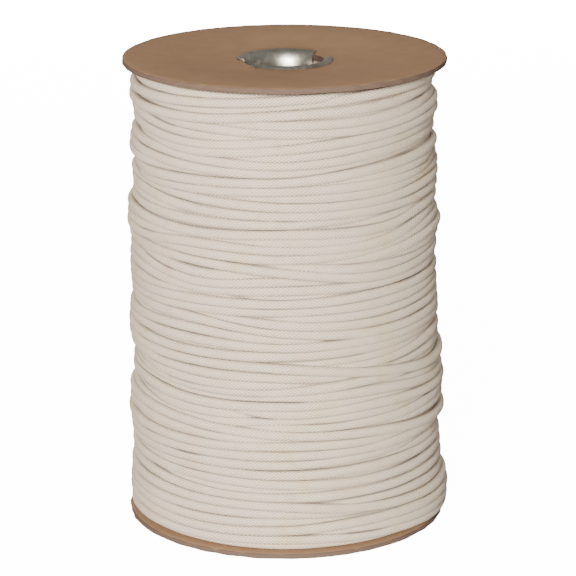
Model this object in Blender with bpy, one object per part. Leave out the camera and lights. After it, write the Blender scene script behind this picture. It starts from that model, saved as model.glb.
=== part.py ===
"""Spool of braided cotton cord: two chipboard flanges on a tinplate barrel, wound full of cord.

Metres, +Z up. The origin is on the surface that the spool stands on, on the barrel's axis.
Azimuth 0 is the front, towards -Y, and 90 degrees is the right, towards +X.
"""

import math
import random

import bmesh
import bpy
from mathutils import Vector

# Driving sizes
INCH = 0.0254
FLANGE_RADIUS = 4.5 * INCH / 2
OVERALL_HEIGHT = 0.1672
BOARD = 0.0018
BORE_RADIUS = 1.0 * INCH / 2
TIN = 0.0005
CORD = 0.0032
TOUCH = 0.0003

# Flanges: the boards are drawn in towards the winding where the lips grip them
SEAT_DROP = 0.0020
SEAT_RADIUS = 0.0185
FLAT_FROM_RADIUS = 0.0500
DISH_RADII = (SEAT_RADIUS, 0.0270, 0.0340, 0.0410, FLAT_FROM_RADIUS)
BOARD_HOLE_RADIUS = BORE_RADIUS + TIN + TOUCH
RIM_CHAMFER = 0.00025
BOARD_SEGMENTS = 64

# Barrel: its ends flare over the boards as lips, each of two tabs with a gap between them
LIP_RADIUS = 0.0168
FLARE_BEND = 0.0012
TIP_BEND = 0.0009
TIP_TURN = 85.0
BARREL_SEGMENTS = 40
TAB_GAPS = (
    # middle of the gap and its width, as azimuths in degrees
    {"middle": -67.0, "width": 46.0},
    {"middle": 119.0, "width": 44.0},
)
GAP_BELOW_SEAT = 0.0006

# Winding: its outermost turns are ridges, each a closed ring that leans and bows with its band.
# A turn takes a little more height than the cord is thick.
TURN_SPREAD = 1.06
TURN_COLUMNS = 36
VALLEY = 0.0010
END_FADE = 0.0120
LIFT = 0.00035
SEED = 7

# The wound radius in mm towards each side, at heights in mm
WOUND_RADIUS = (
    {"height": 162.0, "left": 52.6, "front": 53.0, "right": 52.8, "back": 53.0},
    {"height": 155.0, "left": 55.2, "front": 54.2, "right": 53.4, "back": 54.2},
    {"height": 149.0, "left": 53.3, "front": 53.9, "right": 53.9, "back": 54.6},
    {"height": 143.0, "left": 53.8, "front": 54.0, "right": 52.5, "back": 53.8},
    {"height": 135.0, "left": 55.7, "front": 54.4, "right": 54.0, "back": 54.0},
    {"height": 123.0, "left": 53.9, "front": 54.4, "right": 54.0, "back": 54.9},
    {"height": 112.0, "left": 56.8, "front": 54.6, "right": 54.4, "back": 54.8},
    {"height": 108.0, "left": 56.0, "front": 54.7, "right": 55.6, "back": 54.4},
    {"height": 100.0, "left": 55.6, "front": 54.6, "right": 53.2, "back": 54.9},
    {"height": 87.0, "left": 55.3, "front": 54.9, "right": 54.3, "back": 55.4},
    {"height": 74.0, "left": 56.4, "front": 55.2, "right": 55.1, "back": 54.8},
    {"height": 58.0, "left": 54.9, "front": 55.5, "right": 55.9, "back": 55.6},
    {"height": 40.0, "left": 56.9, "front": 55.8, "right": 57.0, "back": 56.1},
    {"height": 31.0, "left": 56.2, "front": 55.6, "right": 55.5, "back": 56.0},
    {"height": 17.0, "left": 56.3, "front": 55.4, "right": 57.0, "back": 56.2},
    {"height": 10.0, "left": 56.9, "front": 55.2, "right": 59.2, "back": 56.4},
    {"height": 3.0, "left": 56.2, "front": 54.6, "right": 56.8, "back": 55.4},
)

# How far in mm the turns of a band climb or dip towards each side, at heights in mm
TURN_LEAN = (
    {"height": 158.0, "left": -2.2, "front": 0.8, "right": 2.0, "back": -0.4},
    {"height": 147.0, "left": 0.8, "front": -0.6, "right": 1.6, "back": -1.4},
    {"height": 136.0, "left": 1.8, "front": -0.8, "right": 0.8, "back": -1.6},
    {"height": 126.0, "left": 0.6, "front": 0.2, "right": -1.2, "back": 0.8},
    {"height": 116.0, "left": -1.6, "front": 0.4, "right": 1.4, "back": 0.6},
    {"height": 104.0, "left": 2.0, "front": -0.4, "right": -1.4, "back": 0.4},
    {"height": 92.0, "left": -0.6, "front": 0.4, "right": 1.0, "back": -0.8},
    {"height": 80.0, "left": 0.8, "front": -0.4, "right": 0.4, "back": -0.8},
    {"height": 66.0, "left": 1.2, "front": 0.8, "right": -2.0, "back": 0.2},
    {"height": 52.0, "left": 0.6, "front": 0.2, "right": 1.2, "back": -1.6},
    {"height": 42.0, "left": 1.4, "front": -0.2, "right": -1.4, "back": 0.6},
    {"height": 28.0, "left": -0.8, "front": 0.2, "right": 1.0, "back": -0.4},
    {"height": 14.0, "left": -0.4, "front": 0.0, "right": 0.8, "back": -0.6},
)

MM = 0.001
FOOT = BOARD + TOUCH
TURNS = int((OVERALL_HEIGHT - 2 * FOOT) / (CORD * TURN_SPREAD))
PITCH = (OVERALL_HEIGHT - 2 * FOOT) / TURNS


def clear_scene():
    for obj in list(bpy.data.objects):
        bpy.data.objects.remove(obj)


def paint(name, colour, roughness, metallic=0.0):
    material = bpy.data.materials.new(name)
    material.use_nodes = True
    shader = material.node_tree.nodes["Principled BSDF"]
    shader.inputs["Base Color"].default_value = (*colour, 1.0)
    shader.inputs["Roughness"].default_value = roughness
    shader.inputs["Metallic"].default_value = metallic
    material.diffuse_color = (*colour, 1.0)
    return material


def ease(share):
    """Goes from 0 to 1 with a level start and end."""
    share = min(1.0, max(0.0, share))
    return share * share * (3 - 2 * share)


def turned(outline, segments):
    """A bmesh of the closed outline of (radius, height) points, spun once round the Z axis."""
    mesh = bmesh.new()
    points = [mesh.verts.new((radius, 0.0, height)) for radius, height in outline]
    edges = [mesh.edges.new((a, b)) for a, b in zip(points, points[1:] + points[:1])]
    bmesh.ops.spin(
        mesh,
        geom=points + edges,
        cent=(0.0, 0.0, 0.0),
        axis=(0.0, 0.0, 1.0),
        angle=math.tau,
        steps=segments,
        use_merge=True,
    )
    bmesh.ops.recalc_face_normals(mesh, faces=mesh.faces)
    return mesh


def place(name, mesh, material, crease_angle):
    data = bpy.data.meshes.new(name)
    mesh.to_mesh(data)
    mesh.free()
    data.shade_smooth()
    data.set_sharp_from_angle(angle=math.radians(crease_angle))
    data.materials.append(material)
    obj = bpy.data.objects.new(name, data)
    bpy.context.scene.collection.objects.link(obj)
    return obj


# Flanges


def seat_drop(radius):
    """How far a board's face lies in from its rim, towards the winding, at a radius."""
    return SEAT_DROP * (1 - ease((radius - SEAT_RADIUS) / (FLAT_FROM_RADIUS - SEAT_RADIUS)))


def flange_outline():
    """A flange at the foot: its flat rim stands at height 0, and its seat is drawn up."""
    face_radii = (BOARD_HOLE_RADIUS, *DISH_RADII)
    under = [(radius, seat_drop(radius)) for radius in face_radii]
    rim = [
        (FLANGE_RADIUS - RIM_CHAMFER, 0.0),
        (FLANGE_RADIUS, RIM_CHAMFER),
        (FLANGE_RADIUS, BOARD - RIM_CHAMFER),
        (FLANGE_RADIUS - RIM_CHAMFER, BOARD),
    ]
    over = [(radius, seat_drop(radius) + BOARD) for radius in reversed(face_radii)]
    return under + rim + over


def upside_down(outline):
    return [(radius, OVERALL_HEIGHT - height) for radius, height in outline]


def make_flanges(material):
    outline = flange_outline()
    place("lower_flange", turned(outline, BOARD_SEGMENTS), material, 35)
    place("upper_flange", turned(upside_down(outline), BOARD_SEGMENTS), material, 35)


# Barrel


def lip_centreline():
    """The middle of the sheet at the top end, from the straight wall out to the lip's tip."""
    seat_height = OVERALL_HEIGHT - SEAT_DROP
    wall_radius = BORE_RADIUS + TIN / 2
    bend = Vector((wall_radius + FLARE_BEND, seat_height))
    points = []
    for step in range(4):
        angle = math.radians(180 - 30 * step)
        points.append(bend + FLARE_BEND * Vector((math.cos(angle), math.sin(angle))))
    crown_height = seat_height + FLARE_BEND
    tip_angle = math.radians(TIP_TURN)
    tip_start = LIP_RADIUS - TIN / 2 - TIP_BEND * math.sin(tip_angle)
    tip = Vector((tip_start, crown_height - TIP_BEND))
    for step in range(4):
        angle = math.radians(90 - TIP_TURN * step / 3)
        points.append(tip + TIP_BEND * Vector((math.cos(angle), math.sin(angle))))
    return points


def offset(line, distance):
    """The line moved sideways, to its left where the distance is positive."""
    moved = []
    for index, point in enumerate(line):
        before = line[max(index - 1, 0)]
        after = line[min(index + 1, len(line) - 1)]
        along = (after - before).normalized()
        moved.append(point + distance * Vector((-along.y, along.x)))
    return moved


def barrel_outline():
    """The sheet from its lower lip's tip, up the wall and out to its upper lip's tip, and back."""
    upper = lip_centreline()
    lower = [Vector((point.x, OVERALL_HEIGHT - point.y)) for point in reversed(upper)]
    sheet = lower + upper
    outline = offset(sheet, TIN / 2) + offset(sheet, -TIN / 2)[::-1]
    return [(point.x, point.y) for point in outline]


def gap_cutter(name, gap, seat_height, away):
    """A wedge over one gap between the tabs. It reaches away from the seat, up or down."""
    inner = BORE_RADIUS - 2 * TIN
    outer = LIP_RADIUS + 4 * TIN
    low = min(seat_height, seat_height + away)
    high = max(seat_height, seat_height + away)
    mesh = bmesh.new()
    steps = 6
    rings = []
    for step in range(steps + 1):
        azimuth = math.radians(gap["middle"] + gap["width"] * (step / steps - 0.5))
        side = Vector((math.sin(azimuth), -math.cos(azimuth), 0.0))
        corners = ((inner, low), (outer, low), (outer, high), (inner, high))
        rings.append([mesh.verts.new(radius * side + Vector((0, 0, z))) for radius, z in corners])
    for first, second in zip(rings, rings[1:]):
        for a, b in ((0, 1), (1, 2), (2, 3), (3, 0)):
            mesh.faces.new((first[a], first[b], second[b], second[a]))
    mesh.faces.new(rings[0][::-1])
    mesh.faces.new(rings[-1])
    bmesh.ops.recalc_face_normals(mesh, faces=mesh.faces)
    data = bpy.data.meshes.new(name)
    mesh.to_mesh(data)
    mesh.free()
    cutter = bpy.data.objects.new(name, data)
    cutter.hide_render = True
    cutter.display_type = "WIRE"
    bpy.context.scene.collection.objects.link(cutter)
    return cutter


def make_barrel(material):
    barrel = place("barrel", turned(barrel_outline(), BARREL_SEGMENTS), material, 40)
    reach = 4 * FLARE_BEND
    ends = (
        ("lower", SEAT_DROP + GAP_BELOW_SEAT, -reach),
        ("upper", OVERALL_HEIGHT - SEAT_DROP - GAP_BELOW_SEAT, reach),
    )
    for end, seat_height, away in ends:
        for number, gap in enumerate(TAB_GAPS, start=1):
            cut = barrel.modifiers.new(f"{end}_gap_{number}", "BOOLEAN")
            cut.operation = "DIFFERENCE"
            cut.solver = "EXACT"
            cut.object = gap_cutter(f"{end}_gap_cutter_{number}", gap, seat_height, away)


# Winding


def towards(table, height, azimuth):
    """A table's value in metres at a height and azimuth, eased between its rows and its sides."""
    rows = sorted(table, key=lambda row: row["height"])
    height_mm = min(max(height / MM, rows[0]["height"]), rows[-1]["height"])
    above = next(index for index, row in enumerate(rows) if row["height"] >= height_mm)
    upper, lower = rows[above], rows[max(above - 1, 0)]
    span = upper["height"] - lower["height"]
    share = ease((height_mm - lower["height"]) / span) if span else 0.0
    across, ahead = math.sin(azimuth), math.cos(azimuth)
    weights = {
        "right": max(across, 0.0) ** 2,
        "left": min(across, 0.0) ** 2,
        "front": max(ahead, 0.0) ** 2,
        "back": min(ahead, 0.0) ** 2,
    }
    value = 0.0
    for side, weight in weights.items():
        value += weight * (lower[side] + share * (upper[side] - lower[side]))
    return value * MM


def winding_outline():
    """The winding's section: its ridged outside, its end faces on the boards and its inner wall."""
    outside = [(FLANGE_RADIUS - VALLEY, FOOT)]
    for turn in range(TURNS):
        outside.append((FLANGE_RADIUS, FOOT + (turn + 0.5) * PITCH))
        outside.append((FLANGE_RADIUS - VALLEY, FOOT + (turn + 1) * PITCH))
    face_radii = (*DISH_RADII[::-1], BOARD_HOLE_RADIUS)
    lower_face = [(radius, FOOT + seat_drop(radius)) for radius in face_radii]
    upper_face = upside_down(lower_face)
    return outside + upper_face + lower_face[::-1]


def turn_lifts():
    """How each turn stands proud of its neighbours: the lift and the azimuth where it is highest."""
    draw = random.Random(SEED)
    return [(draw.uniform(-LIFT, LIFT), draw.uniform(0.0, math.tau)) for _ in range(TURNS)]


def shape_winding(mesh):
    """Leans, bows and swells the turned section into the uneven wound form."""
    lifts = turn_lifts()
    outside_from = FLANGE_RADIUS - 2 * VALLEY
    for point in mesh.verts:
        radius = math.hypot(point.co.x, point.co.y)
        if radius < outside_from:
            continue
        azimuth = math.atan2(point.co.x, -point.co.y)
        height = point.co.z
        to_end = min(height - FOOT, OVERALL_HEIGHT - FOOT - height)
        height += towards(TURN_LEAN, height, azimuth) * ease(to_end / END_FADE)
        turn = min(TURNS - 1, int((point.co.z - FOOT) / PITCH))
        lift, crest = lifts[turn]
        inset = FLANGE_RADIUS - radius
        radius = towards(WOUND_RADIUS, height, azimuth) - inset + lift * math.cos(azimuth - crest)
        point.co = Vector((radius * math.sin(azimuth), -radius * math.cos(azimuth), height))


def make_winding(material):
    mesh = turned(winding_outline(), TURN_COLUMNS)
    shape_winding(mesh)
    bmesh.ops.recalc_face_normals(mesh, faces=mesh.faces)
    place("cord_winding", mesh, material, 45)


def main():
    clear_scene()
    chipboard = paint("chipboard", (0.30, 0.19, 0.115), 0.85)
    tinplate = paint("tinplate", (0.72, 0.71, 0.68), 0.32, metallic=1.0)
    cotton = paint("cotton", (0.72, 0.64, 0.54), 0.9)
    make_flanges(chipboard)
    make_barrel(tinplate)
    make_winding(cotton)


main()
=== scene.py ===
import math

import bmesh
import bpy
import numpy as np
from mathutils import Euler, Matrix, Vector


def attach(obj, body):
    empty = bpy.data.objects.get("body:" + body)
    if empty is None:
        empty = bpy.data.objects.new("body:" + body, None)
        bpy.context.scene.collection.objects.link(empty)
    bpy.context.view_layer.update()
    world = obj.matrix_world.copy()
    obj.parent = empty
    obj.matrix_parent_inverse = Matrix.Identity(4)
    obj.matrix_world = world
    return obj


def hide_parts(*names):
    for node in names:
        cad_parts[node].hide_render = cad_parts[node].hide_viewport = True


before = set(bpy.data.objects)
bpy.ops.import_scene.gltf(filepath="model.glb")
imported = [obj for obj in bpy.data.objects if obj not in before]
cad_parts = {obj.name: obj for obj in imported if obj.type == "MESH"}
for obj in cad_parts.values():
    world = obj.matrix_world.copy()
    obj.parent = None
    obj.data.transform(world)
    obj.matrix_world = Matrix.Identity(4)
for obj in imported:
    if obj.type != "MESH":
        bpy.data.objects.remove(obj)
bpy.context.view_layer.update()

# Cotton cord wound on a spool: kraft-lined chipboard flanges on a flared tinplate barrel.
# Azimuth 0 is the front, towards -Y, and 90 degrees is the right, towards +X.

MM = 0.001

# Spool, in mm. The boards are drawn in by the seat's drop where the lips grip them.
OVERALL_HEIGHT = 167.2
FLANGE_RADIUS = 57.15
BOARD = 1.8
SEAT_DROP = 2.0
SEAT_RADIUS = 18.5
FLAT_FROM_RADIUS = 50.0
BOARD_HOLE_RADIUS = 14.1
TIN = 0.5

# Cord, in mm: half its thickness, the pitch at which two turns press together, how far its section
# is flattened and squared, and how deep a turn can be tucked
CORD_HALF = 1.55
CONTACT = 2.5
SQUASH = 1.05
FLATNESS = 2.4
DEEPEST_TUCK = 2.4
CORD_SIDES = 16

# Layers under the outermost turns, in mm: pitch, how far below the wound radius, and the deep layers' face
LAYER_PITCH = 2.5
BELOW_NEAREST = 1.2
BELOW_DEEPEST = 3.0
BELOW_SIDES = 10
DEEP_LAYERS = 4.6
LOWEST_TURN = BOARD + 1.85
HIGHEST_TURN = OVERALL_HEIGHT - BOARD - 3.1

# Heights in mm of the cord's outermost turns, from the top down, at the azimuths of their columns.
# The lie says, column by column, how each turn lies: 3 across its neighbours, 2 beside them,
# 1 tucked between them and 0 hidden under them.
TURN_AZIMUTHS = (-70.0, -35.0, 0.0, 35.0, 70.0)
TURNS = (
    # far left, left, front, right, far right, lie
    (163.8, 163.3, 163.8, 163.8, 163.8, "11000"),
    (159.0, 159.9, 162.0, 163.8, 163.8, "33310"),
    (157.8, 157.4, 159.9, 162.0, 162.4, "22222"),
    (154.2, 154.7, 157.0, 157.9, 158.9, "22222"),
    (153.6, 153.3, 153.6, 153.9, 155.6, "00111"),
    (152.2, 151.8, 150.8, 150.9, 153.0, "02222"),
    (150.6, 148.8, 149.2, 149.6, 150.5, "22000"),
    (147.2, 145.7, 148.0, 149.4, 150.2, "22100"),
    (144.2, 143.2, 145.4, 147.9, 150.0, "03333"),
    (142.0, 142.2, 142.5, 145.0, 146.7, "00222"),
    (142.1, 140.6, 139.8, 141.9, 143.3, "22222"),
    (138.7, 137.5, 137.2, 139.9, 141.1, "22222"),
    (135.8, 136.0, 137.0, 139.0, 139.5, "11000"),
    (132.2, 133.1, 134.1, 136.5, 137.8, "22222"),
    (131.8, 132.6, 132.6, 133.8, 135.0, "00011"),
    (129.9, 130.1, 131.0, 131.4, 132.5, "22222"),
    (129.0, 128.8, 128.5, 128.5, 130.4, "00222"),
    (128.2, 126.8, 125.4, 125.4, 126.8, "22222"),
    (125.2, 123.0, 122.3, 122.3, 123.0, "22222"),
    (122.2, 120.8, 120.9, 121.0, 121.5, "10000"),
    (119.5, 119.0, 119.4, 120.4, 121.4, "22210"),
    (118.6, 118.4, 118.6, 118.3, 119.6, "00011"),
    (115.9, 115.0, 115.9, 115.4, 118.6, "22222"),
    (112.6, 113.2, 113.0, 112.9, 115.4, "10110"),
    (109.1, 111.2, 110.4, 110.7, 114.8, "22222"),
    (108.2, 108.1, 107.2, 108.5, 112.1, "02222"),
    (106.4, 106.4, 106.0, 105.9, 108.8, "00011"),
    (105.0, 104.8, 104.6, 104.4, 105.5, "00011"),
    (105.8, 105.8, 104.5, 102.0, 102.9, "00122"),
    (105.3, 105.0, 102.5, 98.8, 99.9, "23333"),
    (103.6, 100.8, 101.0, 98.5, 98.5, "12000"),
    (101.0, 97.6, 99.4, 97.8, 98.0, "22200"),
    (97.2, 95.2, 96.3, 96.1, 96.6, "22222"),
    (94.6, 94.3, 93.9, 94.9, 95.0, "00110"),
    (93.2, 93.4, 93.0, 93.2, 93.4, "11000"),
    (89.9, 91.1, 91.4, 92.4, 92.7, "22222"),
    (87.4, 88.2, 88.8, 89.0, 90.0, "22222"),
    (87.0, 87.4, 86.4, 86.0, 87.1, "00222"),
    (86.2, 86.4, 84.1, 82.6, 83.2, "01322"),
    (84.4, 84.2, 81.2, 79.1, 79.2, "22222"),
    (81.7, 82.4, 79.5, 77.8, 77.8, "11000"),
    (79.7, 80.6, 78.6, 77.2, 77.0, "22200"),
    (76.7, 76.8, 76.1, 76.4, 76.5, "22222"),
    (72.7, 72.5, 73.0, 73.8, 74.2, "22222"),
    (69.6, 69.8, 70.0, 70.8, 71.8, "00110"),
    (69.1, 69.2, 68.6, 64.7, 61.3, "33333"),
    (68.0, 68.0, 68.3, 68.2, 70.3, "00022"),
    (67.0, 67.0, 66.8, 66.3, 66.3, "00022"),
    (66.5, 66.5, 66.0, 64.0, 63.9, "00001"),
    (66.0, 65.3, 65.2, 63.5, 62.0, "22200"),
    (63.6, 62.0, 62.6, 62.0, 60.5, "22200"),
    (61.2, 59.6, 60.3, 62.0, 60.6, "22221"),
    (60.0, 60.0, 59.9, 60.4, 58.4, "00012"),
    (58.9, 57.4, 57.9, 58.1, 55.2, "22222"),
    (55.9, 54.6, 55.0, 55.3, 54.0, "22210"),
    (54.1, 53.8, 52.1, 53.2, 51.7, "10222"),
    (51.6, 51.5, 50.7, 50.5, 50.0, "12000"),
    (49.8, 48.6, 49.4, 50.5, 50.2, "22120"),
    (49.0, 48.0, 47.2, 47.3, 47.9, "00222"),
    (46.5, 46.2, 46.0, 45.6, 45.0, "00001"),
    (48.1, 46.7, 44.6, 43.2, 40.2, "33333"),
    (44.2, 43.3, 42.4, 41.4, 40.0, "22000"),
    (39.6, 39.7, 40.6, 40.1, 39.5, "22220"),
    (35.6, 36.6, 37.0, 37.6, 38.0, "22222"),
    (32.9, 33.4, 33.7, 35.0, 36.4, "22222"),
    (32.5, 32.5, 32.7, 33.2, 33.5, "00011"),
    (30.7, 30.5, 29.9, 30.4, 30.3, "22222"),
    (28.8, 28.7, 28.6, 28.4, 28.6, "00001"),
    (27.5, 27.4, 26.4, 25.8, 26.2, "22222"),
    (24.5, 24.5, 24.2, 24.0, 24.2, "01111"),
    (23.4, 22.2, 21.7, 21.8, 21.9, "22222"),
    (19.4, 19.0, 18.4, 15.5, 14.2, "33333"),
    (19.2, 19.0, 19.3, 18.7, 17.6, "00022"),
    (15.2, 15.4, 15.6, 14.4, 13.6, "22200"),
    (12.6, 11.9, 12.8, 13.3, 13.4, "22200"),
    (9.3, 8.5, 9.4, 11.0, 10.5, "22222"),
    (7.6, 7.4, 7.9, 8.2, 7.0, "00011"),
    (5.0, 5.3, 5.9, 5.2, 4.2, "22222"),
    (3.7, 3.7, 3.7, 3.7, 3.7, "00000"),
)

# Painted shade, in mm: under the upper board, and in the gaps painted dark between turns
BOARD_SHADE = 1.1
BOARD_GAP = 2.2
GAP_REACH = 1.7
GAP_EDGE = 0.9

# Stretches where the gap between two turns is painted dark as shade, in degrees and mm. They were read on a
# drum of the face radius, seen from above at the face slope, and each fades out past its ends.
FACE_RADIUS = 55.0
FACE_SLOPE = 0.27
GAP_OVERRUN = 4.0
GAP_FADE = 6.0
PAINTED_GAP_SHADES = (
    # from azimuth, to azimuth, from height, to height, darkness
    (-66, -58, 163.3, 162.9, 1.0),
    (-60, -30, 163.0, 161.7, 0.6),
    (-70, -35, 156.6, 158.0, 0.5),
    (-35, 0, 158.0, 160.6, 0.4),
    (57, 67, 156.5, 157.1, 1.0),
    (-60, -44, 151.7, 150.7, 0.9),
    (-69, -40, 149.3, 147.4, 0.7),
    (0, 35, 147.0, 149.1, 0.5),
    (35, 70, 149.1, 151.3, 0.7),
    (45, 68, 147.0, 148.4, 0.9),
    (-66, -58, 144.5, 144.3, 0.5),
    (0, 25, 141.0, 142.6, 0.3),
    (-71, -60, 140.4, 140.0, 0.9),
    (-60, -20, 140.0, 138.8, 0.4),
    (-10, 35, 135.3, 138.3, 0.5),
    (35, 68, 138.3, 139.5, 0.6),
    (-60, -35, 130.6, 131.6, 0.5),
    (58, 70, 133.0, 133.3, 0.8),
    (-16, 20, 127.9, 127.1, 0.5),
    (-60, -25, 126.4, 124.6, 0.5),
    (48, 70, 124.0, 124.7, 0.9),
    (-3, 4, 121.2, 121.1, 0.7),
    (-46, 0, 117.0, 117.6, 0.6),
    (20, 58, 117.1, 118.2, 0.6),
    (-65, -55, 111.4, 112.0, 0.7),
    (48, 72, 114.6, 117.2, 0.7),
    (-24, -10, 112.5, 112.0, 0.4),
    (-43, -5, 106.9, 105.6, 0.6),
    (42, 66, 103.4, 104.2, 0.5),
    (-20, 30, 102.6, 97.6, 0.5),
    (-64, -46, 101.4, 99.4, 0.9),
    (25, 48, 95.0, 95.1, 0.5),
    (46, 66, 95.1, 94.9, 1.0),
    (-73, -52, 95.4, 94.5, 0.9),
    (-16, -5, 87.5, 87.7, 0.6),
    (40, 62, 87.6, 88.5, 0.6),
    (-18, -4, 83.9, 82.9, 0.5),
    (-28, -20, 82.4, 81.6, 0.5),
    (14, 22, 78.6, 78.2, 0.8),
    (-56, -33, 78.8, 79.1, 0.5),
    (-70, -60, 74.9, 74.6, 0.6),
    (-10, 30, 71.1, 71.8, 0.8),
    (-55, -35, 67.5, 67.3, 1.0),
    (-7, 2, 67.1, 66.8, 0.6),
    (40, 70, 66.9, 68.4, 1.0),
    (-62, -45, 64.2, 63.2, 0.5),
    (50, 80, 61.4, 58.2, 1.0),
    (-50, -36, 60.1, 60.4, 0.8),
    (-16, -5, 59.2, 60.3, 0.7),
    (-20, 6, 55.6, 56.4, 0.9),
    (48, 62, 55.6, 54.6, 0.6),
    (-76, -58, 52.9, 53.4, 0.8),
    (-12, -5, 51.2, 50.8, 0.9),
    (-78, -66, 47.2, 46.5, 1.0),
    (-36, -24, 45.2, 44.3, 0.7),
    (8, 22, 48.7, 48.9, 0.7),
    (64, 79, 49.8, 50.2, 1.0),
    (18, 32, 42.4, 41.8, 0.5),
    (-70, -57, 36.9, 37.3, 1.0),
    (-44, -33, 35.1, 35.4, 1.0),
    (-15, 0, 31.5, 31.8, 0.8),
    (-72, -62, 29.9, 30.3, 0.6),
    (-40, -34, 29.6, 29.2, 0.5),
    (-62, -48, 25.6, 25.2, 0.9),
    (45, 62, 27.3, 28.0, 0.9),
    (6, 57, 20.0, 20.3, 0.9),
    (-66, -54, 16.9, 16.8, 0.6),
    (-43, -12, 13.6, 14.2, 0.5),
    (58, 78, 12.6, 11.9, 1.0),
    (0, 10, 8.0, 8.1, 0.9),
    (-50, 0, 6.8, 7.7, 0.4),
    (22, 38, 7.3, 6.9, 0.9),
    (10, 28, 12.3, 13.1, 0.3),
)

# The wound radius in mm towards each side, at heights in mm
WOUND_RADIUS = (
    {"height": 162.0, "left": 52.6, "front": 53.0, "right": 53.2, "back": 53.0},
    {"height": 157.0, "left": 55.1, "front": 53.9, "right": 51.5, "back": 53.9},
    {"height": 154.0, "left": 54.8, "front": 54.2, "right": 54.0, "back": 54.3},
    {"height": 149.0, "left": 53.3, "front": 53.9, "right": 53.7, "back": 54.6},
    {"height": 145.0, "left": 53.6, "front": 54.0, "right": 52.3, "back": 54.1},
    {"height": 139.0, "left": 54.8, "front": 54.2, "right": 53.8, "back": 53.9},
    {"height": 133.0, "left": 55.6, "front": 54.4, "right": 54.2, "back": 54.1},
    {"height": 127.0, "left": 54.3, "front": 54.4, "right": 54.3, "back": 54.6},
    {"height": 121.0, "left": 54.0, "front": 54.4, "right": 54.0, "back": 54.9},
    {"height": 115.0, "left": 56.3, "front": 54.5, "right": 53.3, "back": 54.8},
    {"height": 109.0, "left": 56.4, "front": 54.7, "right": 55.5, "back": 54.5},
    {"height": 103.0, "left": 55.1, "front": 54.6, "right": 53.8, "back": 54.7},
    {"height": 97.0, "left": 55.6, "front": 54.7, "right": 53.5, "back": 55.0},
    {"height": 91.0, "left": 55.7, "front": 54.8, "right": 54.3, "back": 55.2},
    {"height": 85.0, "left": 55.1, "front": 54.9, "right": 54.4, "back": 55.3},
    {"height": 79.0, "left": 55.9, "front": 55.1, "right": 54.8, "back": 55.0},
    {"height": 73.0, "left": 56.4, "front": 55.2, "right": 55.2, "back": 54.8},
    {"height": 67.0, "left": 55.8, "front": 55.3, "right": 54.9, "back": 55.1},
    {"height": 61.0, "left": 54.8, "front": 55.4, "right": 56.4, "back": 55.5},
    {"height": 58.0, "left": 54.9, "front": 55.5, "right": 55.7, "back": 55.6},
    {"height": 52.0, "left": 55.7, "front": 55.6, "right": 57.2, "back": 55.8},
    {"height": 46.0, "left": 56.2, "front": 55.7, "right": 56.6, "back": 55.9},
    {"height": 40.0, "left": 57.0, "front": 55.8, "right": 57.0, "back": 56.1},
    {"height": 34.0, "left": 56.1, "front": 55.7, "right": 55.3, "back": 56.0},
    {"height": 28.0, "left": 55.8, "front": 55.6, "right": 56.1, "back": 56.0},
    {"height": 22.0, "left": 55.6, "front": 55.5, "right": 56.5, "back": 56.1},
    {"height": 16.0, "left": 56.4, "front": 55.4, "right": 56.9, "back": 56.2},
    {"height": 13.0, "left": 56.8, "front": 55.3, "right": 59.1, "back": 56.3},
    {"height": 10.0, "left": 56.9, "front": 55.2, "right": 59.2, "back": 56.4},
    {"height": 7.0, "left": 56.6, "front": 54.9, "right": 59.2, "back": 56.0},
    {"height": 4.0, "left": 56.6, "front": 54.7, "right": 58.8, "back": 55.5},
)


# Winding


def ease(share):
    share = np.clip(share, 0.0, 1.0)
    return share * share * (3 - 2 * share)


def wound_radius(azimuth, height):
    """The winding's outer radius, eased between the table's rows and sides. Angles in radians."""
    rows = WOUND_RADIUS[::-1]
    heights = np.array([row["height"] for row in rows])
    upper = np.clip(np.searchsorted(heights, height), 1, len(rows) - 1)
    share = ease((height - heights[upper - 1]) / (heights[upper] - heights[upper - 1]))
    across, ahead = np.sin(azimuth), np.cos(azimuth)
    weights = {
        "right": np.maximum(across, 0) ** 2,
        "left": np.minimum(across, 0) ** 2,
        "front": np.maximum(ahead, 0) ** 2,
        "back": np.minimum(ahead, 0) ** 2,
    }
    radius = 0.0
    for side, weight in weights.items():
        values = np.array([row[side] for row in rows])
        radius = radius + weight * (values[upper - 1] + share * (values[upper] - values[upper - 1]))
    return radius


def smooth_curve(at, knots, values):
    """A smooth curve through the knots, read at the given places."""
    slopes = np.gradient(values, knots)
    index = np.clip(np.searchsorted(knots, at, side="right") - 1, 0, len(knots) - 2)
    width = knots[index + 1] - knots[index]
    t = (at - knots[index]) / width
    start = (2 * t**3 - 3 * t**2 + 1) * values[index] + (t**3 - 2 * t**2 + t) * width * slopes[index]
    end = (3 * t**2 - 2 * t**3) * values[index + 1] + (t**3 - t**2) * width * slopes[index + 1]
    return start + end


STEPS_A_TURN = 120
BACK_AZIMUTHS = (125.0, 180.0, 235.0)
BACK_WANDER = 0.45
PROUD = 0.5


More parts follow.
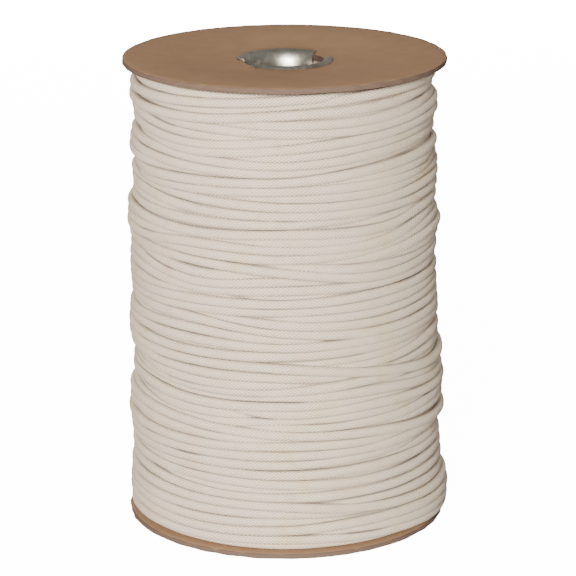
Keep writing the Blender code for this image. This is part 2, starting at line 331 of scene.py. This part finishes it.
def cord_route(turns, draw):
    """The cord's height and lie along all its turns: read at the front, seeded at the back."""
    columns = len(TURN_AZIMUTHS)
    knots, heights, lies = [-180.0], [turns[0][0]], [0.0]
    for number, turn in enumerate(turns):
        knots += [360.0 * number + azimuth for azimuth in TURN_AZIMUTHS]
        heights += turn[:columns]
        lies += [float(mark) for mark in turn[columns]]
        if number + 1 < len(turns):
            start, end = turn[columns - 1], turns[number + 1][0]
            lie, next_lie = float(turn[columns][-1]), float(turns[number + 1][columns][0])
            for azimuth in BACK_AZIMUTHS:
                share = (azimuth - TURN_AZIMUTHS[-1]) / (360 + TURN_AZIMUTHS[0] - TURN_AZIMUTHS[-1])
                knots.append(360.0 * number + azimuth)
                heights.append(start + share * (end - start) + draw.normal(0, BACK_WANDER))
                lies.append(lie + share * (next_lie - lie) + draw.normal(0, 0.15))
    knots.append(360.0 * len(turns) - 180.0)
    heights.append(heights[-1])
    lies.append(0.0)
    angles = -180.0 + np.arange(len(turns) * STEPS_A_TURN) * 360.0 / STEPS_A_TURN
    route = smooth_curve(angles, np.array(knots), np.array(heights))
    return angles, np.clip(route, LOWEST_TURN, HIGHEST_TURN), np.interp(angles, knots, lies)


def tuck(heights, outermost, lies):
    """Across one azimuth, lays each turn as far out as those that lie over it let it go."""
    radii = outermost.copy()
    laid = np.zeros(len(heights), dtype=bool)
    for turn in np.argsort(-lies, kind="stable"):
        apart = np.abs(heights[laid] - heights[turn])
        near = apart < CONTACT
        if near.any():
            room = radii[laid][near] - np.sqrt(CONTACT**2 - apart[near] ** 2)
            radii[turn] = min(radii[turn], room.min())
        laid[turn] = True
    return radii


def soften(radii, steps, times):
    for _ in range(times):
        padded = np.pad(radii, steps, mode="edge")
        radii = sum(padded[shift : shift + len(radii)] for shift in range(2 * steps + 1)) / (2 * steps + 1)
    return radii


def lay_cord(angles, heights, lies):
    """The cord's radius all along its turns, each tucked under its neighbours where they press."""
    turns = len(angles) // STEPS_A_TURN
    azimuths = np.radians(angles)
    proud = PROUD * np.clip(lies - 2, 0, 1)
    outermost = wound_radius(azimuths, heights) - CORD_HALF + proud
    by_turn = (turns, STEPS_A_TURN)
    heights_by_turn, outermost_by_turn = heights.reshape(by_turn), outermost.reshape(by_turn)
    lies_by_turn = lies.reshape(by_turn)
    radii = np.empty(by_turn)
    for column in range(STEPS_A_TURN):
        radii[:, column] = tuck(
            heights_by_turn[:, column], outermost_by_turn[:, column], lies_by_turn[:, column]
        )
    radii = np.maximum(radii, outermost_by_turn - DEEPEST_TUCK)
    return soften(radii.ravel(), 3, 2)


def layer_below(angles, heights, radii, draw):
    """The layer that shows in the gaps: a closed, even winding under the outermost turns."""
    count = int((HIGHEST_TURN - LOWEST_TURN) / LAYER_PITCH)
    below_angles = -180.0 + np.arange(count * STEPS_A_TURN) * 360.0 / STEPS_A_TURN
    drop = (HIGHEST_TURN - LOWEST_TURN) / (count * STEPS_A_TURN)
    below = HIGHEST_TURN - drop * np.arange(count * STEPS_A_TURN)
    knots = np.arange(below_angles[0], below_angles[-1] + 90, 75.0)
    below = below + np.interp(below_angles, knots, draw.normal(0, 0.3, len(knots)))
    below = np.clip(below, LOWEST_TURN, HIGHEST_TURN)
    over = heights.reshape(-1, STEPS_A_TURN)
    over_radii = radii.reshape(-1, STEPS_A_TURN)
    column = np.arange(len(below)) % STEPS_A_TURN
    apart = np.abs(over[:, column] - below[None, :])
    under = over_radii[:, column] - np.sqrt(np.maximum(CONTACT**2 - apart**2, 0.0))
    under = np.where(apart < CONTACT, under, 1000.0).min(axis=0)
    limit = wound_radius(np.radians(below_angles), below) - CORD_HALF
    below_radii = np.clip(under, limit - BELOW_DEEPEST, limit - BELOW_NEAREST)
    return below_angles, below, soften(below_radii, 2, 2)


def cord_mesh(name, angles, heights, radii, sides, material):
    """A round tube along the cord's route, with its length in mm and its girth as UV."""
    azimuths = np.radians(angles)
    outward = np.stack([np.sin(azimuths), -np.cos(azimuths), np.zeros_like(azimuths)], -1)
    middle = outward * radii[:, None] + np.array([0, 0, 1.0]) * heights[:, None]
    along = np.gradient(middle, axis=0)
    step = np.linalg.norm(along, axis=1)
    along /= step[:, None]
    side = np.cross(along, outward)
    side /= np.linalg.norm(side, axis=1)[:, None]
    out = np.cross(side, along)
    turn = np.pi + 2 * np.pi * np.arange(sides) / sides
    flatter = (np.abs(np.cos(turn)) ** FLATNESS + np.abs(np.sin(turn)) ** FLATNESS) ** (-1 / FLATNESS)
    outwards, sideways = flatter * np.cos(turn), SQUASH * flatter * np.sin(turn)
    ring = outwards[None, :, None] * out[:, None] + sideways[None, :, None] * side[:, None]
    length = np.concatenate([[0], np.cumsum((step[1:] + step[:-1]) / 2)])
    thickness = CORD_HALF * (1 + 0.02 * np.sin(length / 9.0) + 0.015 * np.sin(length / 3.7 + 1.0))
    points = (middle[:, None] + ring * thickness[:, None, None]) * MM
    count = len(angles)
    rows, spots = np.meshgrid(np.arange(count - 1), np.arange(sides), indexing="ij")
    following = (spots + 1) % sides
    low, high = rows * sides, (rows + 1) * sides
    quads = np.stack([low + spots, low + following, high + following, high + spots], -1).reshape(-1, 4)
    caps = [list(range(sides))[::-1], [(count - 1) * sides + spot for spot in range(sides)]]
    mesh = bpy.data.meshes.new(name)
    mesh.from_pydata(points.reshape(-1, 3).tolist(), [], quads.tolist() + caps)
    across = np.stack([spots, spots + 1, spots + 1, spots], -1) / sides
    lengths = np.stack([length[rows], length[rows], length[rows + 1], length[rows + 1]], -1)
    flat = np.stack([lengths, across], -1).reshape(-1, 2)
    flat = np.concatenate([flat, np.zeros((2 * sides, 2))])
    layer = mesh.uv_layers.new(name="cord")
    layer.data.foreach_set("uv", flat.ravel())
    mesh.shade_smooth()
    mesh.materials.append(material)
    piece = bpy.data.objects.new(name, mesh)
    bpy.context.scene.collection.objects.link(piece)
    recalculate_normals(piece)
    return piece


def mark_presses(piece, cords):
    """Keeps at each point of a cord its distance from the nearest turn or board, and the strength of the
    shade painted in its gaps.
    """
    points = np.empty(len(piece.data.vertices) * 3)
    piece.data.vertices.foreach_get("co", points)
    across, ahead, height = points.reshape(-1, 3).T / MM
    radius = np.hypot(across, ahead)
    azimuth = np.degrees(np.arctan2(across, -ahead))
    column = np.round((azimuth + 180.0) * STEPS_A_TURN / 360.0).astype(int) % STEPS_A_TURN
    nearest = np.minimum(OVERALL_HEIGHT - BOARD - BOARD_SHADE - height, height - BOARD)
    for spot in range(STEPS_A_TURN):
        here = np.flatnonzero(column == spot)
        heights = np.concatenate([cord[1][spot::STEPS_A_TURN] for cord in cords])
        radii = np.concatenate([cord[2][spot::STEPS_A_TURN] for cord in cords])
        up = np.abs(height[here, None] - heights[None, :]) / (CORD_HALF * SQUASH)
        out = np.abs(radius[here, None] - radii[None, :]) / CORD_HALF
        gap = ((up**FLATNESS + out**FLATNESS) ** (1 / FLATNESS) - 1) * CORD_HALF
        gap.sort(axis=1)
        nearest[here] = np.minimum(nearest[here], gap[:, 1])
    # The distance sets where the cotton is painted dark as shade in the grooves
    attribute = piece.data.attributes.new("clearance", "FLOAT", "POINT")
    attribute.data.foreach_set("value", np.clip(nearest, -1.0, 2.0).astype(np.float32))
    seen_height = height + (FACE_RADIUS - radius) * FACE_SLOPE
    # Painted shade: full under the upper board, and along each listed dark gap
    shade = np.where(height > OVERALL_HEIGHT - BOARD - BOARD_GAP, 1.0, 0.0)
    for start, end, first, last, darkness in PAINTED_GAP_SHADES:
        share = (azimuth - start) / (end - start)
        away = np.abs(seen_height - (first + share * (last - first)))
        entering = ease((azimuth - start + GAP_OVERRUN) / GAP_FADE)
        leaving = ease((end + GAP_OVERRUN - azimuth) / GAP_FADE)
        shade = np.maximum(shade, darkness * entering * leaving * ease((GAP_REACH - away) / GAP_EDGE))
    attribute = piece.data.attributes.new("painted_gap_shade", "FLOAT", "POINT")
    attribute.data.foreach_set("value", shade.astype(np.float32))


def recalculate_normals(piece):
    shell = bmesh.new()
    shell.from_mesh(piece.data)
    bmesh.ops.recalc_face_normals(shell, faces=shell.faces)
    shell.to_mesh(piece.data)
    shell.free()


def make_winding(cotton, deep_cotton):
    draw = np.random.default_rng(11)
    angles, heights, lies = cord_route(TURNS, draw)
    radii = lay_cord(angles, heights, lies)
    below = layer_below(angles, heights, radii, draw)
    half = len(TURNS) // 2 * STEPS_A_TURN
    upper, lower = slice(0, half + 1), slice(half, None)
    pieces = [
        cord_mesh("cord_upper_turns", angles[upper], heights[upper], radii[upper], CORD_SIDES, cotton),
        cord_mesh("cord_lower_turns", angles[lower], heights[lower], radii[lower], CORD_SIDES, cotton),
        cord_mesh("cord_layer_below", *below, BELOW_SIDES, cotton),
    ]
    for piece in pieces:
        mark_presses(piece, [(angles, heights, radii), below])
    pieces.append(make_core(deep_cotton))
    for piece in pieces:
        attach(piece, "root")
        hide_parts("cord_winding")


def turned_piece(name, outline, segments, material):
    """Spins a closed outline of (radius, height) in mm about the axis."""
    bpy.ops.object.select_all(action="DESELECT")
    mesh = bpy.data.meshes.new(name)
    points = [(radius * MM, 0.0, height * MM) for radius, height in outline]
    count = len(points)
    mesh.from_pydata(points, [(spot, (spot + 1) % count) for spot in range(count)], [])
    piece = bpy.data.objects.new(name, mesh)
    bpy.context.scene.collection.objects.link(piece)
    bpy.context.view_layer.objects.active = piece
    piece.select_set(True)
    bpy.ops.object.mode_set(mode="EDIT")
    bpy.ops.mesh.select_all(action="SELECT")
    bpy.ops.mesh.spin(steps=segments, angle=2 * math.pi, center=(0, 0, 0), axis=(0, 0, 1))
    bpy.ops.mesh.select_all(action="SELECT")
    bpy.ops.mesh.remove_doubles(threshold=1e-6)
    bpy.ops.mesh.normals_make_consistent(inside=False)
    bpy.ops.object.mode_set(mode="OBJECT")
    bpy.ops.object.shade_smooth_by_angle(angle=math.radians(35))
    piece.data.materials.append(material)
    return piece


def seat_drop(radius):
    share = (radius - SEAT_RADIUS) / (FLAT_FROM_RADIUS - SEAT_RADIUS)
    return SEAT_DROP * (1 - float(ease(share)))


def make_core(material):
    """The deep layers, which only close the view between the turns, in cotton painted dark as shade."""
    face = [(radius, BOARD + 0.35 + seat_drop(radius)) for radius in (46.0, 36.0, 27.0, 18.5, 13.6)]
    wall = [(50.0, height) for height in np.linspace(BOARD + 0.5, OVERALL_HEIGHT - BOARD - 0.5, 60)]
    outline = face[::-1] + wall + [(radius, OVERALL_HEIGHT - height) for radius, height in face]
    piece = turned_piece("cord_deep_layers", outline, 90, material)
    for point in piece.data.vertices:
        radius = math.hypot(point.co.x, point.co.y) / MM
        if radius > 48:
            azimuth = math.atan2(point.co.x, -point.co.y)
            scale = (float(wound_radius(azimuth, point.co.z / MM)) - DEEP_LAYERS) / radius
            point.co.x *= scale
            point.co.y *= scale
    return piece


# Boards


def board_outline():
    radii = (BOARD_HOLE_RADIUS, 16.0, 18.5, 21.0, 24.0, 28.0, 32.0, 36.0, 41.0, 46.0, 50.0, 54.0)
    under = [(radius, seat_drop(radius)) for radius in radii]
    rim = [
        (FLANGE_RADIUS - 0.30, 0.0),
        (FLANGE_RADIUS - 0.08, 0.12),
        (FLANGE_RADIUS, 0.42),
        (FLANGE_RADIUS - 0.04, 0.66),
        (FLANGE_RADIUS, 0.90),
        (FLANGE_RADIUS - 0.04, 1.14),
        (FLANGE_RADIUS, 1.38),
        (FLANGE_RADIUS - 0.08, BOARD - 0.12),
        (FLANGE_RADIUS - 0.30, BOARD),
    ]
    over = [(radius, seat_drop(radius) + BOARD) for radius in radii[::-1]]
    return under + rim + over


def roughen_rim(piece, draw):
    """Gives the cut rim its small nicks and waves."""
    waves = [(draw.integers(3, 60), draw.uniform(0, 2 * math.pi), draw.normal(0, 0.035)) for _ in range(26)]
    for point in piece.data.vertices:
        radius = math.hypot(point.co.x, point.co.y)
        if radius < (FLANGE_RADIUS - 0.5) * MM:
            continue
        azimuth = math.atan2(point.co.x, -point.co.y)
        wave = sum(size * math.sin(times * azimuth + start) for times, start, size in waves)
        scale = 1 + (wave - 0.06) * MM / radius
        point.co.x *= scale
        point.co.y *= scale


def make_boards(material):
    draw = np.random.default_rng(5)
    outline = board_outline()
    for name, node, shape in (
        ("lower_board", "lower_flange", outline),
        ("upper_board", "upper_flange", [(r, OVERALL_HEIGHT - z) for r, z in outline]),
    ):
        piece = turned_piece(name, shape, 320, material)
        roughen_rim(piece, draw)
        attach(piece, "root")
        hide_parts(node)


# Barrel

# The flare from the barrel to the lip's curled tip: radius and height over the seated board, in mm
FLARE = (
    (12.45, -12.0), (12.47, -8.0), (12.55, -5.5), (12.72, -3.9), (12.98, -2.5), (13.35, -1.25),
    (13.85, -0.25), (14.45, 0.45), (15.05, 0.85), (15.65, 0.98), (16.2, 0.86), (16.62, 0.55), (16.85, 0.12),
)
# How much of the flare is left, at azimuths in degrees: it is torn open in two places
LIP_REACH = (
    (-180, 1.0), (-93, 1.0), (-90, 0.93), (-87, 0.72), (-83, 0.50), (-79, 0.40), (-73, 0.38), (-67, 0.46),
    (-61, 0.62), (-54, 0.80), (-46, 0.93), (-38, 0.99), (-32, 1.0), (84, 1.0), (90, 0.97), (94, 0.90),
    (97, 0.79), (99, 0.62), (101, 0.40), (103, 0.25), (112, 0.20), (121, 0.17), (125, 0.28), (128, 0.46),
    (130, 0.60), (133, 0.68), (136, 0.86), (138.5, 0.94), (141, 1.0), (180, 1.0),
)


def flare_point(share):
    """A point along the flare, from 0 at the barrel to 1 at the curled tip."""
    radii, heights = np.array(FLARE).T
    along = np.concatenate([[0], np.cumsum(np.hypot(np.diff(radii), np.diff(heights)))])
    along /= along[-1]
    return float(np.interp(share, along, radii)), float(np.interp(share, along, heights))


def make_barrel(material):
    """The tube with a torn, flared lip at each end, one sheet of tinplate."""
    seat = OVERALL_HEIGHT - SEAT_DROP
    azimuths = np.arange(-180.0, 180.0, 1.5)
    reach = np.interp(azimuths, *np.array(LIP_REACH, dtype=float).T)
    draw = np.random.default_rng(3)
    torn = (azimuths > 124) & (azimuths < 141)
    reach = reach + np.where(torn, draw.normal(0, 0.02, len(reach)), 0.0)
    rings = 22
    shares = np.linspace(0, 1, rings)
    points = []
    for end in (-1, 1):
        for number, share in enumerate(shares if end > 0 else shares[::-1]):
            for azimuth, limit in zip(np.radians(azimuths), reach):
                radius, height = flare_point(share * limit)
                radius += 0.12 * math.sin(3 * azimuth + 0.7) * share
                level = seat + height if end > 0 else SEAT_DROP - height
                across, ahead = radius * math.sin(azimuth), -radius * math.cos(azimuth)
                points.append((across * MM, ahead * MM, level * MM))
    count = len(azimuths)
    faces = []
    for ring in range(2 * rings - 1):
        for spot in range(count):
            following = (spot + 1) % count
            low, high = ring * count, (ring + 1) * count
            faces.append((low + spot, low + following, high + following, high + spot))
    mesh = bpy.data.meshes.new("tinplate_barrel")
    mesh.from_pydata(points, [], faces)
    mesh.materials.append(material)
    piece = bpy.data.objects.new("tinplate_barrel", mesh)
    bpy.context.scene.collection.objects.link(piece)
    recalculate_normals(piece)
    bpy.ops.object.select_all(action="DESELECT")
    bpy.context.view_layer.objects.active = piece
    piece.select_set(True)
    wall = piece.modifiers.new("wall", "SOLIDIFY")
    wall.thickness = TIN * MM
    wall.offset = 0.0
    bpy.ops.object.modifier_apply(modifier="wall")
    bpy.ops.object.shade_smooth_by_angle(angle=math.radians(40))
    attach(piece, "root")
    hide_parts("barrel")


# Materials


class Nodes:
    """Short ways to add and join shader nodes."""

    def __init__(self, name):
        self.material = bpy.data.materials.new(name)
        self.material.use_nodes = True
        self.tree = self.material.node_tree
        self.shader = self.tree.nodes["Principled BSDF"]

    def add(self, kind, **settings):
        node = self.tree.nodes.new(kind)
        for key, value in settings.items():
            setattr(node, key, value)
        return node

    def join(self, source, target):
        if isinstance(source, (int, float)):
            target.default_value = source
        else:
            self.tree.links.new(source, target)

    def math(self, operation, first, second=0.0, third=0.0):
        node = self.add("ShaderNodeMath", operation=operation)
        for source, socket in zip((first, second, third), node.inputs):
            self.join(source, socket)
        return node.outputs[0]

    def noise(self, vector, scale, detail=3.0, roughness=0.5):
        node = self.add("ShaderNodeTexNoise")
        self.tree.links.new(vector, node.inputs["Vector"])
        node.inputs["Scale"].default_value = scale
        node.inputs["Detail"].default_value = detail
        node.inputs["Roughness"].default_value = roughness
        return node.outputs["Fac"]

    def ramp(self, source, stops):
        node = self.add("ShaderNodeValToRGB")
        self.tree.links.new(source, node.inputs[0])
        elements = node.color_ramp.elements
        while len(elements) < len(stops):
            elements.new(0.5)
        for element, (place, colour) in zip(elements, stops):
            element.position = place
            element.color = (*colour, 1.0) if len(colour) == 3 else colour
        return node.outputs[0]

    def mix(self, share, first, second, blend="MIX"):
        node = self.add("ShaderNodeMix", data_type="RGBA", blend_type=blend)
        self.join(share, node.inputs[0])
        for source, socket in ((first, node.inputs[6]), (second, node.inputs[7])):
            if isinstance(source, tuple):
                socket.default_value = (*source, 1.0)
            else:
                self.tree.links.new(source, socket)
        return node.outputs[2]

    def bump(self, height, distance, strength=1.0, base=None):
        node = self.add("ShaderNodeBump")
        node.inputs["Strength"].default_value = strength
        node.inputs["Distance"].default_value = distance
        self.tree.links.new(height, node.inputs["Height"])
        if base is not None:
            self.tree.links.new(base, node.inputs["Normal"])
        return node.outputs[0]


def cotton_material():
    nodes = Nodes("natural_cotton_braid")
    flat = nodes.add("ShaderNodeUVMap", uv_map="cord").outputs[0]
    split = nodes.add("ShaderNodeSeparateXYZ")
    nodes.join(flat, split.inputs[0])
    length, girth = split.outputs[0], split.outputs[1]
    place = nodes.add("ShaderNodeTexCoord").outputs["Object"]

    # Braid: two sets of strands that wind opposite ways, each over the other in turn
    strand = nodes.math("MULTIPLY", length, 1 / 1.5)
    around = nodes.math("MULTIPLY", girth, 8.0)
    first = nodes.math("ADD", strand, around)
    second = nodes.math("SUBTRACT", strand, around)
    first_across = nodes.math("FRACT", first)
    second_across = nodes.math("FRACT", second)
    parity = nodes.math("ADD", nodes.math("FLOOR", first), nodes.math("FLOOR", second))
    swap = nodes.math("MODULO", nodes.math("ABSOLUTE", parity), 2.0)

    def bulge(across, along):
        round_over = nodes.math("SINE", nodes.math("MULTIPLY", across, math.pi))
        dive = nodes.math("SINE", nodes.math("MULTIPLY", along, math.pi))
        return nodes.math("MULTIPLY", nodes.math("POWER", round_over, 0.8), nodes.math("POWER", dive, 0.6))

    one = bulge(first_across, second_across)
    other = bulge(second_across, first_across)
    braid = nodes.math("ADD", nodes.math("MULTIPLY", one, nodes.math("SUBTRACT", 1.0, swap)),
                       nodes.math("MULTIPLY", other, swap))

    # Colour: undyed cream, pinker and yellower by stretches, with painted shade browner towards the hidden
    # side, in the braid's pits and in the grooves
    tint = nodes.noise(place, 60.0, 3.0, 0.6)
    cream = nodes.ramp(tint, (
        (0.30, (0.76, 0.595, 0.49)),
        (0.40, (0.77, 0.655, 0.53)),
        (0.50, (0.765, 0.67, 0.575)),
        (0.58, (0.78, 0.685, 0.545)),
        (0.70, (0.75, 0.635, 0.43)),
    ))
    stained = nodes.noise(place, 210.0, 4.0, 0.65)
    stain = nodes.math("MULTIPLY", nodes.math("MAXIMUM", nodes.math("SUBTRACT", stained, 0.56), 0.0), 2.2)
    cream = nodes.mix(stain, cream, (0.60, 0.42, 0.29))
    # Painted shade in the braid's pits, between the raised strands
    braid_pit_shade = nodes.math("SUBTRACT", 1.0, braid)
    cream = nodes.mix(nodes.math("MULTIPLY", braid_pit_shade, 0.55), cream, (0.46, 0.37, 0.27))
    # Painted shade: browner where the girth turns away from the outward face, towards the neighbouring turns
    facing = nodes.math("COSINE", nodes.math("MULTIPLY", nodes.math("SUBTRACT", girth, 0.5), 2 * math.pi))
    side = nodes.math("MULTIPLY", nodes.math("SUBTRACT", 0.45, facing), 1.2)
    side = nodes.math("MINIMUM", nodes.math("MAXIMUM", side, 0.0), 1.0)
    cream = nodes.mix(nodes.math("MULTIPLY", side, 0.5), cream, (0.36, 0.27, 0.20))
    # Painted shade: the cotton darkens to near black in the grooves where a turn comes close to its
    # neighbours or the boards, widest and darkest along the listed dark gaps
    clearance = nodes.add("ShaderNodeAttribute", attribute_name="clearance").outputs["Fac"]
    painted_gap_shade = nodes.add("ShaderNodeAttribute", attribute_name="painted_gap_shade").outputs["Fac"]
    narrowness = nodes.math("MULTIPLY_ADD", painted_gap_shade, -1.3, 2.4)
    painted_groove_shade = nodes.math("SUBTRACT", 1.0, nodes.math("MULTIPLY", clearance, narrowness))
    painted_groove_shade = nodes.math("MINIMUM", nodes.math("MAXIMUM", painted_groove_shade, 0.0), 1.0)
    groove_shade_strength = nodes.math("MULTIPLY_ADD", nodes.noise(place, 45.0, 2.0), 1.6, -0.25)
    groove_shade_strength = nodes.math("MAXIMUM", groove_shade_strength, nodes.math("MULTIPLY_ADD", painted_gap_shade, 0.7, 0.3))
    groove_shade_strength = nodes.math("MINIMUM", groove_shade_strength, 1.0)
    cream = nodes.mix(nodes.math("MULTIPLY", painted_groove_shade, groove_shade_strength), cream, (0.075, 0.05, 0.042))
    nodes.join(cream, nodes.shader.inputs["Base Color"])

    fibres = nodes.noise(place, 1500.0, 2.0, 0.6)
    relief = nodes.bump(braid, 0.0004, 1.0)
    relief = nodes.bump(fibres, 0.00006, 0.6, relief)
    nodes.join(relief, nodes.shader.inputs["Normal"])
    nodes.shader.inputs["Roughness"].default_value = 0.92
    nodes.shader.inputs["Sheen Weight"].default_value = 0.12
    nodes.shader.inputs["Sheen Roughness"].default_value = 0.6
    nodes.shader.inputs["Specular IOR Level"].default_value = 0.2
    return nodes.material


def deep_cotton_material():
    nodes = Nodes("cotton_deep_layers_painted_shade")
    place = nodes.add("ShaderNodeTexCoord").outputs["Object"]
    # Painted shade: the deep layers are the same cotton, coloured dark brown to stand for the shade between
    # the turns
    tone = nodes.ramp(nodes.noise(place, 120.0), ((0.3, (0.24, 0.17, 0.12)), (0.7, (0.36, 0.28, 0.21))))
    nodes.join(tone, nodes.shader.inputs["Base Color"])
    nodes.join(nodes.bump(nodes.noise(place, 900.0), 0.0002), nodes.shader.inputs["Normal"])
    nodes.shader.inputs["Roughness"].default_value = 0.95
    return nodes.material


def chipboard_material():
    nodes = Nodes("kraft_chipboard")
    place = nodes.add("ShaderNodeTexCoord").outputs["Object"]
    split = nodes.add("ShaderNodeSeparateXYZ")
    nodes.join(place, split.inputs[0])
    radius = nodes.math("SQRT", nodes.math("ADD", nodes.math("MULTIPLY", split.outputs[0], split.outputs[0]),
                                           nodes.math("MULTIPLY", split.outputs[1], split.outputs[1])))
    cloud = nodes.noise(place, 160.0, 5.0, 0.7)
    kraft = nodes.ramp(cloud, (
        (0.30, (0.232, 0.140, 0.078)),
        (0.50, (0.250, 0.153, 0.086)),
        (0.70, (0.270, 0.168, 0.097)),
    ))
    fibre = nodes.noise(place, 520.0, 5.0, 0.75)
    kraft = nodes.mix(nodes.math("MULTIPLY", fibre, 0.3), kraft, (0.30, 0.195, 0.12))
    rim = nodes.math("GREATER_THAN", radius, (FLANGE_RADIUS - 0.36) * MM)
    layers = nodes.math("SINE", nodes.math("MULTIPLY", split.outputs[2], 2 * math.pi / (0.45 * MM)))
    layered = nodes.math("MULTIPLY_ADD", layers, 0.4, 0.4)
    edge = nodes.mix(layered, (0.086, 0.054, 0.038), (0.160, 0.115, 0.090))
    worn = nodes.noise(place, 300.0, 4.0, 0.7)
    edge = nodes.mix(nodes.math("MULTIPLY", worn, 0.5), edge, (0.09, 0.06, 0.045))
    # Painted shade on the cut edge of the board's hole, near black
    painted_hole_shade = nodes.math("LESS_THAN", radius, (BOARD_HOLE_RADIUS + 0.3) * MM)
    board = nodes.mix(painted_hole_shade, nodes.mix(rim, kraft, edge), (0.05, 0.033, 0.024))
    nodes.join(board, nodes.shader.inputs["Base Color"])
    nodes.join(nodes.bump(fibre, 0.00008, 0.5), nodes.shader.inputs["Normal"])
    nodes.shader.inputs["Roughness"].default_value = 0.85
    nodes.shader.inputs["Specular IOR Level"].default_value = 0.3
    return nodes.material


def tinplate_material():
    nodes = Nodes("rolled_tinplate")
    place = nodes.add("ShaderNodeTexCoord").outputs["Object"]
    tone = nodes.ramp(nodes.noise(place, 240.0, 4.0, 0.6), (
        (0.35, (0.36, 0.35, 0.31)),
        (0.55, (0.50, 0.49, 0.445)),
        (0.75, (0.66, 0.65, 0.61)),
    ))
    nodes.join(tone, nodes.shader.inputs["Base Color"])
    ripples = nodes.bump(nodes.noise(place, 170.0, 2.0), 0.0004, 0.5)
    grain = nodes.bump(nodes.noise(place, 1200.0, 2.0), 0.00003, 0.4, ripples)
    nodes.join(grain, nodes.shader.inputs["Normal"])
    nodes.shader.inputs["Metallic"].default_value = 1.0
    nodes.shader.inputs["Roughness"].default_value = 0.36
    return nodes.material


# Studio

# The camera's place in metres, its tilts in radians and its lens in mm, worked out from the rims
CAMERA_PLACE = (0.00088, -0.98271, 0.36690)
CAMERA_PITCH = 0.2822523
CAMERA_ROLL = -0.004084
CAMERA_LENS = 177.83
LIGHTS_AIM = (0, 0, 0.08)
FLOOR_GLOW = 14.0
WORLD_GLOW = 0.29
WARM = (1.0, 0.925, 0.835)
SOFT = (1.0, 0.94, 0.86)


def make_floor():
    bpy.ops.object.select_all(action="DESELECT")
    bpy.ops.mesh.primitive_plane_add(size=8.0, location=(0, 0, 0))
    floor = bpy.context.object
    floor.name = "floor"
    nodes = Nodes("lit_white_paper")
    nodes.shader.inputs["Base Color"].default_value = (0.95, 0.95, 0.95, 1)
    nodes.shader.inputs["Roughness"].default_value = 0.9
    nodes.shader.inputs["Emission Color"].default_value = (1, 1, 1, 1)
    nodes.shader.inputs["Emission Strength"].default_value = FLOOR_GLOW
    floor.data.materials.append(nodes.material)
    floor.visible_diffuse = False
    floor.visible_glossy = False


def area_light(name, place, size, power, colour, glossy=True):
    light = bpy.data.lights.new(name, "AREA")
    light.shape = "DISK"
    light.size = size
    light.energy = power
    light.color = colour
    lamp = bpy.data.objects.new(name, light)
    lamp.location = place
    lamp.visible_glossy = glossy
    lamp.rotation_euler = (Vector(LIGHTS_AIM) - Vector(place)).to_track_quat("-Z", "Y").to_euler()
    bpy.context.scene.collection.objects.link(lamp)


def make_studio():
    make_floor()
    area_light("key", (-0.42, -1.75, 0.58), 0.5, 92.0, WARM)
    area_light("fill", (0.10, -1.8, 0.34), 0.6, 20.0, SOFT)
    area_light("back", (0.0, 1.8, 0.36), 0.9, 60.0, SOFT, glossy=False)
    world = bpy.data.worlds.new("studio")
    world.use_nodes = True
    world.node_tree.nodes["Background"].inputs[0].default_value = (1, 0.96, 0.9, 1)
    world.node_tree.nodes["Background"].inputs[1].default_value = WORLD_GLOW
    bpy.context.scene.world = world


def make_camera():
    camera = bpy.data.cameras.new("camera")
    camera.sensor_width = 36.0
    camera.lens = CAMERA_LENS
    camera.clip_start = 0.05
    view = bpy.data.objects.new("camera", camera)
    view.location = CAMERA_PLACE
    view.rotation_mode = "XYZ"
    tilt = Euler((math.pi / 2 - CAMERA_PITCH, 0, 0)).to_matrix()
    spin = Euler((0, 0, CAMERA_ROLL)).to_matrix()
    view.rotation_euler = (tilt @ spin).to_euler()
    bpy.context.scene.collection.objects.link(view)
    bpy.context.scene.camera = view


def main():
    make_winding(cotton_material(), deep_cotton_material())
    make_boards(chipboard_material())
    make_barrel(tinplate_material())
    make_studio()
    make_camera()


main()
